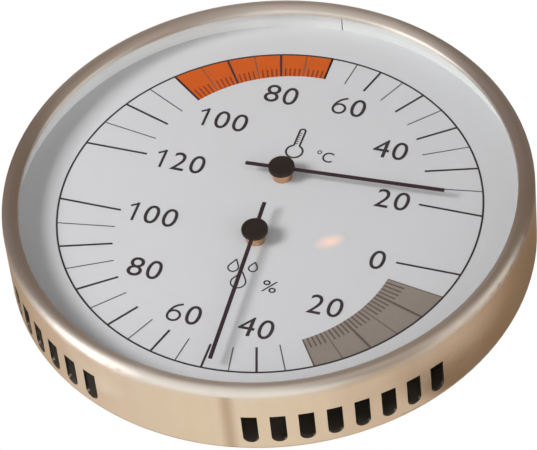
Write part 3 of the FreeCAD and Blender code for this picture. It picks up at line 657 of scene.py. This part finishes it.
for value in range(6, 30):
    if value % 5:
        tick(grey_lines, "humidity", value, UNIT_LINE, UNIT_TOP, GREY_UNIT_SHARE)
ink_piece("print_zone_tens", orange_tens, BLACK_INK)
ink_piece("print_zone_fives", orange_fives, UMBER_INK)
ink_piece("print_orange_units", orange_units, RUST_INK)
ink_piece("print_grey_lines", grey_lines, UMBER_INK)

# %% [markdown]
# The numerals are text objects, which Blender turns into closed meshes once they have a thickness. Each
# figure is measured and then scaled to the height and width that the dial shows, so that it doesn't depend
# on the font's own size, and it is moved into place in its mesh.

# %% Words
WORD_THICKNESS = 0.075 * MM


def word_mesh(text):
    """A closed mesh of a word, centred at the origin, with its width and height."""
    curve = bpy.data.curves.new("word", "FONT")
    curve.body = text
    curve.align_x = curve.align_y = "CENTER"
    curve.extrude = 0.5
    curve.resolution_u = 5
    carrier = bpy.data.objects.new("word", curve)
    scene.collection.objects.link(carrier)
    bpy.context.view_layer.update()
    mesh = bpy.data.meshes.new_from_object(carrier.evaluated_get(bpy.context.evaluated_depsgraph_get()))
    bpy.data.objects.remove(carrier)
    bm = bmesh.new()
    bm.from_mesh(mesh)
    bmesh.ops.remove_doubles(bm, verts=bm.verts, dist=1e-5)
    low = Vector(map(min, *[v.co for v in bm.verts]))
    high = Vector(map(max, *[v.co for v in bm.verts]))
    bmesh.ops.translate(bm, vec=-(low + high) / 2, verts=bm.verts)
    bmesh.ops.scale(bm, vec=(1, 1, WORD_THICKNESS), verts=bm.verts)
    bm.to_mesh(mesh)
    bm.free()
    return mesh, high.x - low.x, high.y - low.y


def word(bm, text, x, y, height, width):
    """Adds a word to an ink mesh with its middle at (x, y) on the dial."""
    mesh, across, tall = word_mesh(text)
    size = Matrix.Diagonal((width / across, height / tall, 1, 1))
    mesh.transform(Matrix.Translation((x, y, WORD_THICKNESS / 2 - SUNK)) @ size)
    bm.from_mesh(mesh)
    bpy.data.meshes.remove(mesh)


print("words stand", round((WORD_THICKNESS - SUNK) / MM, 3), "mm proud of the dial")

# %% [markdown]
# Blender's own font has a bare stroke for the figure 1 and a straight back on the figure 6. The dial's 1
# has a flag and its 6 is curved, so those two are drawn from strokes: the 1 from two bars, and the 6 from a
# ring and an arc that meets it on the left.

# %% The figures 1 and 6
STEM = 0.66 * MM
STEM_SHIFT = 0.4 * MM
FLAG = 0.56 * MM
FLAG_LOW = Vector((-1.72, -1.42)) * MM
FLAG_HIGH = Vector((0.05, -0.32)) * MM
BOWL_RADIUS = 1.55 * MM
BOWL_RISE = 1.85 * MM
SPINE_RADIUS = 3.92 * MM
SPINE_END = radians(105)
SIX_LINE = 0.58 * MM


def figure_one(bm, x, y, height):
    """The figure 1 of the dial: a stem a little right of its cell's middle, and a flag to the left."""
    foot = Vector((x + STEM_SHIFT, y - height / 2))
    top = foot + Vector((0, height))
    bar(bm, foot, top, STEM, FIGURE_TOP)
    bar(bm, top + FLAG_LOW, top + FLAG_HIGH, FLAG, FLAG_TOP)


def figure_six(bm, x, y, height):
    """The figure 6 of the dial: a round bowl, and a spine that bends over it to the right."""
    bowl = Vector((x, y - height / 2 + BOWL_RISE))
    arc(bm, bowl, BOWL_RADIUS, SIX_LINE, FIGURE_TOP, steps=32)
    arc(bm, bowl + Vector((SPINE_RADIUS - BOWL_RADIUS, 0)), SPINE_RADIUS, SIX_LINE, FLAG_TOP, start=SPINE_END,
        sweep=pi - SPINE_END, steps=12)


print("figures 1 and 6 are ready")

# %% [markdown]
# A numeral is set figure by figure at an even pitch, each figure in the width that the dial gives it. The
# list gives the middle of every numeral in millimetres. The two units are smaller and stand by their signs.

# %% Numerals and units
NUMERAL_HEIGHT = 5.95 * MM
FIGURE_PITCH = 4.72 * MM
FIGURE_WIDTHS = {"0": 3.75 * MM, "2": 3.5 * MM, "4": 4.05 * MM, "8": 3.8 * MM}
NUMERALS = (
    ("120", -26.5, 9.2), ("100", -20.65, 25.3), ("80", -8.8, 37.1), ("60", 9.0, 37.1), ("40", 23.4, 25.55),
    ("20", 28.6, 9.6), ("100", -27.3, -9.25), ("80", -23.1, -26.2), ("60", -9.2, -37.5), ("40", 9.0, -37.5),
    ("20", 22.9, -26.95), ("0", 30.7, -9.95))
numerals = bmesh.new()
for text, x, y in NUMERALS:
    for cell, figure in enumerate(text):
        middle = x * MM + (cell - (len(text) - 1) / 2) * FIGURE_PITCH
        if figure == "1":
            figure_one(numerals, middle, y * MM, NUMERAL_HEIGHT)
        elif figure == "6":
            figure_six(numerals, middle, y * MM, NUMERAL_HEIGHT)
        else:
            word(numerals, figure, middle, y * MM, NUMERAL_HEIGHT, FIGURE_WIDTHS[figure])
word(numerals, "°C", 8.1 * MM, 19.4 * MM, height=3.5 * MM, width=4.4 * MM)
word(numerals, "%", 8.0 * MM, -24.4 * MM, height=3.6 * MM, width=3.8 * MM)
ink_piece("print_numerals", numerals, BLACK_INK)

# %% [markdown]
# Two plain outline signs tell the scales apart: a thermometer and three drops. A drop is an arc for its
# belly and two straight strokes that meet in a point. The strokes leave the belly along its tangents, so
# the angle comes from the ratio of the belly's radius to the distance of the point. The list gives each
# belly's x, y and radius and that distance, in millimetres.

# %% Signs
BULB_RADIUS = 2.1 * MM
HALF_STEM = 0.72 * MM
BULB_HEIGHT = 19.27 * MM
STEM_TOP = 26.3 * MM
STEM_X = 0.25 * MM
THERMOMETER_LINE = 0.48 * MM
GRADUATIONS = 6
GRADUATION_LINE = 0.2 * MM
GRADUATION_END = 0.1 * MM
DROP_LINE = 0.36 * MM
DROPS = ((-2.45, -20.75, 1.3, 2.75), (2.3, -19.85, 1.1, 1.95), (0.2, -24.9, 1.85, 3.35))


def drop(bm, x, y, radius, point):
    """An outlined drop with its belly at (x, y) and its point above it."""
    centre = Vector((x, y))
    half = asin(radius / point)
    arc(bm, centre, radius, DROP_LINE, FIGURE_TOP, start=pi - half, sweep=pi + 2 * half)
    tip = centre + Vector((0, point))
    for side in (-1, 1):
        touch = centre + Vector((side * cos(half), sin(half))) * radius
        bar(bm, touch, tip, DROP_LINE, THICK_TOP)


def thermometer(bm):
    """An outlined thermometer: bulb, two stem lines, a round head and short graduations."""
    opening = asin(HALF_STEM / BULB_RADIUS)
    arc(bm, Vector((STEM_X, BULB_HEIGHT)), BULB_RADIUS, THERMOMETER_LINE, FIGURE_TOP, start=pi / 2 + opening,
        sweep=tau - 2 * opening)
    neck = BULB_HEIGHT + BULB_RADIUS * cos(opening)
    for side in (STEM_X - HALF_STEM, STEM_X + HALF_STEM):
        bar(bm, Vector((side, neck)), Vector((side, STEM_TOP)), THERMOMETER_LINE, THICK_TOP)
    arc(bm, Vector((STEM_X, STEM_TOP)), HALF_STEM, THERMOMETER_LINE, FIGURE_TOP, sweep=pi)
    for step in range(1, GRADUATIONS + 1):
        level = neck + (STEM_TOP - neck) * step / (GRADUATIONS + 1)
        start = Vector((STEM_X - HALF_STEM, level))
        bar(bm, start, Vector((STEM_X + GRADUATION_END, level)), GRADUATION_LINE, THIN_TOP)


signs = bmesh.new()
thermometer(signs)
for x, y, radius, point in DROPS:
    drop(signs, x * MM, y * MM, radius * MM, point * MM)
ink_piece("print_signs", signs, BLACK_INK)

# %% [markdown]
# Spun and drawn metal carries fine lines that run round the axis of the can, because the tool touched it
# while it turned. A noise that only sees the distance from the axis and the depth gives just such lines. It
# is a node group, because the case, the bushes and the arbors all use it, each with its own pitch and
# centre.

# %% Turned lines as a node group
PLAIN_PITCH = 0.3 * MM
WANDER = 0.15
CLOUDS_PER_METRE = 55.0


def new_group(name, inputs, outputs):
    """An empty node group with its ends; an input's number makes a value, and None makes a vector."""
    group = bpy.data.node_groups.new(name, "ShaderNodeTree")
    for label, value in inputs.items():
        kind = "NodeSocketVector" if value is None else "NodeSocketFloat"
        made = group.interface.new_socket(name=label, in_out="INPUT", socket_type=kind)
        if value is not None:
            made.default_value = value
    for label in outputs:
        group.interface.new_socket(name=label, in_out="OUTPUT", socket_type="NodeSocketFloat")
    return group, group.nodes.new("NodeGroupInput").outputs, group.nodes.new("NodeGroupOutput").inputs


turned, given, result = new_group("turned_lines", {"Place": None, "Pitch": PLAIN_PITCH, "Wander": WANDER},
                                  ("Lines", "Cloud"))
cloud_noise = make(turned, "TexNoise", {"Vector": given["Place"], "Scale": CLOUDS_PER_METRE, "Detail": 3.0})
cloud = cloud_noise.outputs["Fac"]
drift = calculate(turned, "MULTIPLY", cloud, given["Wander"])
depth = make(turned, "SeparateXYZ", {0: given["Place"]}).outputs["Y"]
section = make(turned, "CombineXYZ", {"X": from_axis(turned, given["Place"]), "Y": depth, "Z": drift})
per_pitch = calculate(turned, "DIVIDE", 1.0, given["Pitch"])
scaled = make(turned, "VectorMath", {0: section.outputs[0], "Scale": per_pitch}, "SCALE")
fine = make(turned, "TexNoise", {"Vector": scaled.outputs[0], "Scale": 1.0, "Detail": 2.0})
feed(turned, result["Lines"], fine.outputs["Fac"])
feed(turned, result["Cloud"], cloud)
print("turned lines ready")

# %% [markdown]
# Handling leaves smudges and a little dust. Smudges are where a slow noise is high, and dust settles on
# faces that look up. The group gives one mask for each, and a material decides what they do to it.

# %% Smudges and dust as a node group
SMUDGE_SIZE = 20 * MM
SMUDGE_STARTS, SMUDGE_FULL = 0.48, 0.68
GRAIN_STARTS, GRAIN_FULL = 0.62, 0.75
GRAINS_PER_METRE = 2600.0
marks, given, result = new_group("smudges_and_dust", {"Place": None, "Size": SMUDGE_SIZE}, ("Smudge", "Dust"))
per_size = calculate(marks, "DIVIDE", 1.0, given["Size"])
blot = make(marks, "TexNoise", {"Vector": given["Place"], "Scale": per_size, "Detail": 5.0})
blot.inputs["Distortion"].default_value = 0.6
speck = make(marks, "TexNoise", {"Vector": given["Place"], "Scale": GRAINS_PER_METRE, "Detail": 2.0})
grains = stretch(marks, speck.outputs["Fac"], GRAIN_STARTS, GRAIN_FULL)
upward = make(marks, "SeparateXYZ", {0: make(marks, "NewGeometry").outputs["Normal"]}).outputs["Z"]
settled = make(marks, "Math", {0: upward, 1: grains}, "MULTIPLY")
settled.use_clamp = True
feed(marks, result["Smudge"], stretch(marks, blot.outputs["Fac"], SMUDGE_STARTS, SMUDGE_FULL))
feed(marks, result["Dust"], settled.outputs[0])
print("smudges and dust ready")

# %% [markdown]
# Most finishes here are one recipe with other numbers: two shades mixed by a cloud, roughness that follows
# the smudges, and a bump. Turned metal takes the lines as its bump, and everything else a soft orange-peel.
# So one function builds them, and each finish is one call.

# %% A finish
DUST = (0.55, 0.52, 0.48)
LINE_RELIEF = 0.02 * MM
PEEL_RELIEF = 0.05 * MM
PEEL_PER_METRE = 900.0


def place_group(tree, group, inputs):
    """A node group in a material, with its inputs fed."""
    node = make(tree, "Group")
    node.node_tree = group
    for key, value in inputs.items():
        feed(tree, node.inputs[key], value)
    return node.outputs


def finish(name, light, dark, roughness, bump, metallic=1.0, lines=None, centre=(0, 0, 0), smear=0.12,
           dust=0.12, specular=0.5):
    """A material of two shades with smudges, dust and a bump: turned lines about a centre, or else peel."""
    material, tree = blank_material(name)
    shader = tree.nodes["Principled BSDF"]
    shader.inputs["Metallic"].default_value = metallic
    shader.inputs["Specular IOR Level"].default_value = specular
    place = make(tree, "TexCoord").outputs["Object"]
    moved = make(tree, "Mapping", {"Vector": place, "Location": [-c for c in centre]}).outputs[0]
    wear = place_group(tree, marks, {"Place": place, "Size": SMUDGE_SIZE})
    turning = place_group(tree, turned, {"Place": moved, "Pitch": lines or PLAIN_PITCH})
    shade = mix_colours(tree, turning["Cloud"], light, dark)
    settled = calculate(tree, "MULTIPLY", wear["Dust"], dust)
    feed(tree, shader.inputs["Base Color"], mix_colours(tree, settled, shade, DUST))
    rough = stretch(tree, wear["Smudge"], 0.0, 1.0, roughness, min(1.0, roughness + smear))
    feed(tree, shader.inputs["Roughness"], rough)
    if lines:
        relief = make(tree, "Bump", {"Distance": LINE_RELIEF, "Strength": bump, "Height": turning["Lines"]})
    else:
        skin = make(tree, "TexNoise", {"Vector": place, "Scale": PEEL_PER_METRE}).outputs["Fac"]
        relief = make(tree, "Bump", {"Distance": PEEL_RELIEF, "Strength": bump, "Height": skin})
    feed(tree, shader.inputs["Normal"], relief.outputs[0])
    return material


def dress(material, *names):
    """Gives CAD nodes their finish."""
    for name in names:
        nodes[name].data.materials.clear()
        nodes[name].data.materials.append(material)
    print(material.name, "on", ", ".join(names))


print("the recipe for finishes is ready")

# %% [markdown]
# What sets the case apart follows its round shape, so its masks are made from three measures: the distance
# from the axis, the depth and the angle round the can. The press leaves the inner half of the lip flatter
# than a true half-round: it mirrors one tone nearly up to its edge, and the light sits in a thin line
# there. The normals of that half are therefore leant towards the front, all but those of the edge itself,
# which keeps its turn.

# %% Flattened lip
LIP_RADIUS = 62.9 * MM
LIP_CENTRE = -19.67 * MM
LIP_ROUND = 2.1 * MM
TURN_STARTS = 1.65 * MM
TURN_ENDS = 2.0 * MM


def polar_place(tree):
    """The distance from the can's axis, the depth and the angle from straight down, as three outputs."""
    place = make(tree, "TexCoord").outputs["Object"]
    split = make(tree, "SeparateXYZ", {0: place}).outputs
    down = calculate(tree, "MULTIPLY", split["Z"], -1.0)
    return from_axis(tree, place), split["Y"], calculate(tree, "ARCTAN2", split["X"], down)


def flatten_lip(material, lean=1.25):
    """Leans the normals of the lip's inner half towards the front."""
    tree = material.node_tree
    distance, depth, _ = polar_place(tree)
    inside = stretch(tree, distance, LIP_RADIUS, LIP_RADIUS - LIP_ROUND, 0.0, lean)
    edge_off = stretch(tree, distance, LIP_RADIUS - TURN_ENDS, LIP_RADIUS - TURN_STARTS)
    front = calculate(tree, "LESS_THAN", depth, LIP_CENTRE)
    amount = calculate(tree, "MULTIPLY", calculate(tree, "MULTIPLY", inside, edge_off), front)
    lean_by = make(tree, "VectorMath", {0: (0, -1, 0), "Scale": amount}, "SCALE").outputs[0]
    normal = make(tree, "NewGeometry").outputs["Normal"]
    leant = make(tree, "VectorMath", {0: normal, 1: lean_by}, "ADD").outputs[0]
    unit = make(tree, "VectorMath", {0: leant}, "NORMALIZE").outputs[0]
    relief = tree.nodes["Principled BSDF"].inputs["Normal"].links[0].from_node
    feed(tree, relief.inputs["Normal"], unit)
    print("lip flattened by", lean)


# %% [markdown]
# Lines that run round a spun piece blur a reflection across them and leave it sharp along them, which a
# round gloss can't do, so the gloss is anisotropic and its tangent follows the axis. The lip, where the
# sheet was bent, is rougher than the wall.

# %% Stretched gloss
GLOSS_STRETCH = 0.92
QUARTER_TURN = 0.25
LIP_ENDS = LIP_CENTRE + 1.5 * MM


def spin_gloss(material, lip_roughness=0.16):
    """Stretches the gloss across the lines that the tool left round the can, and roughens the lip."""
    tree = material.node_tree
    shader = tree.nodes["Principled BSDF"]
    shader.inputs["Anisotropic"].default_value = GLOSS_STRETCH
    shader.inputs["Anisotropic Rotation"].default_value = QUARTER_TURN
    round_axis = make(tree, "Tangent")
    round_axis.direction_type = "RADIAL"
    round_axis.axis = "Y"
    feed(tree, shader.inputs["Tangent"], round_axis.outputs[0])
    _, depth, _ = polar_place(tree)
    on_lip = stretch(tree, depth, LIP_ENDS, LIP_CENTRE, 0.0, lip_roughness)
    rough = shader.inputs["Roughness"]
    feed(tree, rough, calculate(tree, "ADD", rough.links[0].from_socket, on_lip))
    print("gloss stretched by", GLOSS_STRETCH)


# %% [markdown]
# The wall is darker in faint streaks across it, and in one band near the bottom, which is a painted
# reflection of something dark that the wall mirrors there.

# %% Streaks and a painted reflection on the wall
WALL_STARTS = LIP_RADIUS + 0.6 * MM
# The band near the bottom is a painted reflection: the wall's colour is darkened there, about this angle from
# straight down.
REFLECTION_BAND_ANGLE = radians(9.3)
REFLECTION_BAND_HALF = radians(2.4)
REFLECTION_BAND_DARKNESS = 0.55
MARKS_PER_RADIAN = 16.0
MARK_STARTS, MARK_FULL = 0.35, 0.75
MARK_DARKNESS = 0.045
# The tone that both the faint streaks and the painted reflection darken the metal towards.
STREAK_AND_REFLECTION_TONE = (0.42, 0.31, 0.21)


def streak_wall(material):
    """Darkens the metal in faint streaks across the wall, and in one band near the bottom that is a painted
    dark reflection.
    """
    tree = material.node_tree
    distance, depth, angle = polar_place(tree)
    across = make(tree, "TexNoise", {"Scale": MARKS_PER_RADIAN, "Detail": 2.0})
    across.noise_dimensions = "1D"
    feed(tree, across.inputs["W"], angle)
    faint = stretch(tree, across.outputs["Fac"], MARK_STARTS, MARK_FULL, 0.0, MARK_DARKNESS)
    off = calculate(tree, "ABSOLUTE", calculate(tree, "SUBTRACT", angle, REFLECTION_BAND_ANGLE))
    # smear here is the painted dark reflection near the bottom of the wall, not a mark on the metal.
    smear = stretch(tree, off, 0.0, REFLECTION_BAND_HALF, REFLECTION_BAND_DARKNESS, 0.0, smooth=True)
    behind_lip = calculate(tree, "GREATER_THAN", depth, LIP_CENTRE)
    outer = calculate(tree, "GREATER_THAN", distance, WALL_STARTS)
    on_wall = calculate(tree, "MULTIPLY", behind_lip, outer)
    here = calculate(tree, "MULTIPLY", calculate(tree, "ADD", faint, smear), on_wall)
    base = tree.nodes["Principled BSDF"].inputs["Base Color"]
    feed(tree, base, mix_colours(tree, here, base.links[0].from_socket, STREAK_AND_REFLECTION_TONE))
    print("wall streaked")


# %% [markdown]
# The case is bright metal with a trace of champagne. The spacer is plain white plastic, and the dial is
# matte white enamel. Its white is written darker than the spacer's, because more of the lamps' light falls
# on it.

# %% Case, spacer and dial finishes
case_metal = finish("finish_case", (0.87, 0.81, 0.72), (0.81, 0.75, 0.66), roughness=0.17, bump=0.35,
                    lines=0.16 * MM, smear=0.10)
flatten_lip(case_metal)
spin_gloss(case_metal)
streak_wall(case_metal)
dress(case_metal, "case_shell")
dress(finish("finish_spacer", (0.80, 0.815, 0.80), (0.75, 0.765, 0.75), roughness=0.4, bump=0.15,
             metallic=0.0),
      "spacer_ring")
dress(finish("finish_dial", (0.60, 0.60, 0.615), (0.585, 0.585, 0.60), roughness=0.5, bump=0.08,
             metallic=0.0, dust=0.02),
      "dial_face")

# %% [markdown]
# The pane is plain glass. Light that falls through glass onto a dial is slow to trace, so rays that only
# ask whether a point is in shadow pass straight through a clear shader instead, while all others meet real
# glass.

# %% Pane
PANE_SMUDGE_SIZE = 35 * MM
GLASS_INDEX = 1.5


def pane_material():
    """Clear glass that lets shadow rays pass, with faint smudges that dim what is behind them."""
    material, tree = blank_material("finish_pane")
    glass = tree.nodes["Principled BSDF"]
    glass.inputs["Transmission Weight"].default_value = 1.0
    glass.inputs["IOR"].default_value = GLASS_INDEX
    glass.inputs["Roughness"].default_value = 0.0
    place = make(tree, "TexCoord").outputs["Object"]
    smudge = place_group(tree, marks, {"Place": place, "Size": PANE_SMUDGE_SIZE})["Smudge"]
    film = mix_colours(tree, smudge, (0.985, 0.992, 0.99), (0.975, 0.982, 0.978))
    feed(tree, glass.inputs["Base Color"], film)
    show_mix(tree, make(tree, "LightPath").outputs["Is Shadow Ray"], glass, make(tree, "BsdfTransparent"))
    return material


dress(pane_material(), "front_glass")

# %% [markdown]
# The hands are painted and the caps are moulded, both in a soft black that is barely glossy. The bushes and
# collets are turned from a coppery brass, and their lines run round the axis of their own hand.

# %% Hands, caps and bushes
dress(finish("finish_hands", (0.016, 0.005, 0.011), (0.026, 0.011, 0.019), roughness=0.55, bump=0.12,
             metallic=0.0, dust=0.04, specular=0.35),
      "temperature_hand", "humidity_hand")
dress(finish("finish_caps", (0.007, 0.004, 0.003), (0.012, 0.007, 0.005), roughness=0.5, bump=0.10,
             metallic=0.0, dust=0.04, specular=0.2),
      "temperature_hub_cap", "humidity_hub_cap")
for name in ("temperature", "humidity"):
    brass = finish(name + "_finish_brass", (0.78, 0.47, 0.27), (0.66, 0.37, 0.20), roughness=0.26, bump=0.4,
                   lines=0.12 * MM, centre=HINGES[name + "_reading"])
    dress(brass, *[name + part for part in ("_front_bush", "_rear_bush", "_coil_collet", "_hand_collet")])

# %% [markdown]
# The works show only through the slots and the holes in the rear. They are plain workshop metals: a turned
# plate, brass pillars and levers, steel arbors, washers and bridges, and two strips, of which one has a
# coat that takes up moisture.

# %% Works behind the dial
dress(finish("finish_plate", (0.66, 0.66, 0.67), (0.56, 0.56, 0.57), roughness=0.34, bump=0.2,
             lines=0.3 * MM),
      "movement_plate")
dress(finish("finish_pillars", (0.78, 0.64, 0.36), (0.66, 0.52, 0.28), roughness=0.3, bump=0.1),
      "pillar_right", "pillar_left", "pillar_bottom")
dress(finish("finish_screws", (0.66, 0.66, 0.67), (0.52, 0.53, 0.55), roughness=0.3, bump=0.15),
      "case_screws")
for name in ("temperature", "humidity"):
    steel = finish(name + "_finish_steel", (0.68, 0.68, 0.70), (0.58, 0.58, 0.60), roughness=0.28, bump=0.3,
                   lines=0.15 * MM, centre=HINGES[name + "_reading"])
    dress(steel, name + "_arbor", name + "_friction_washer", name + "_bridge")
    dress(finish(name + "_finish_rivets", (0.72, 0.72, 0.73), (0.62, 0.62, 0.63), roughness=0.35, bump=0.1),
          name + "_bridge_rivets")
    dress(finish(name + "_finish_lever", (0.80, 0.64, 0.34), (0.68, 0.52, 0.26), roughness=0.3, bump=0.1),
          name + "_adjuster")
dress(finish("finish_bimetal", (0.60, 0.56, 0.50), (0.48, 0.44, 0.40), roughness=0.38, bump=0.1),
      "temperature_coil")
dress(finish("finish_coated_strip", (0.62, 0.46, 0.28), (0.50, 0.36, 0.22), roughness=0.42, bump=0.1),
      "humidity_coil")
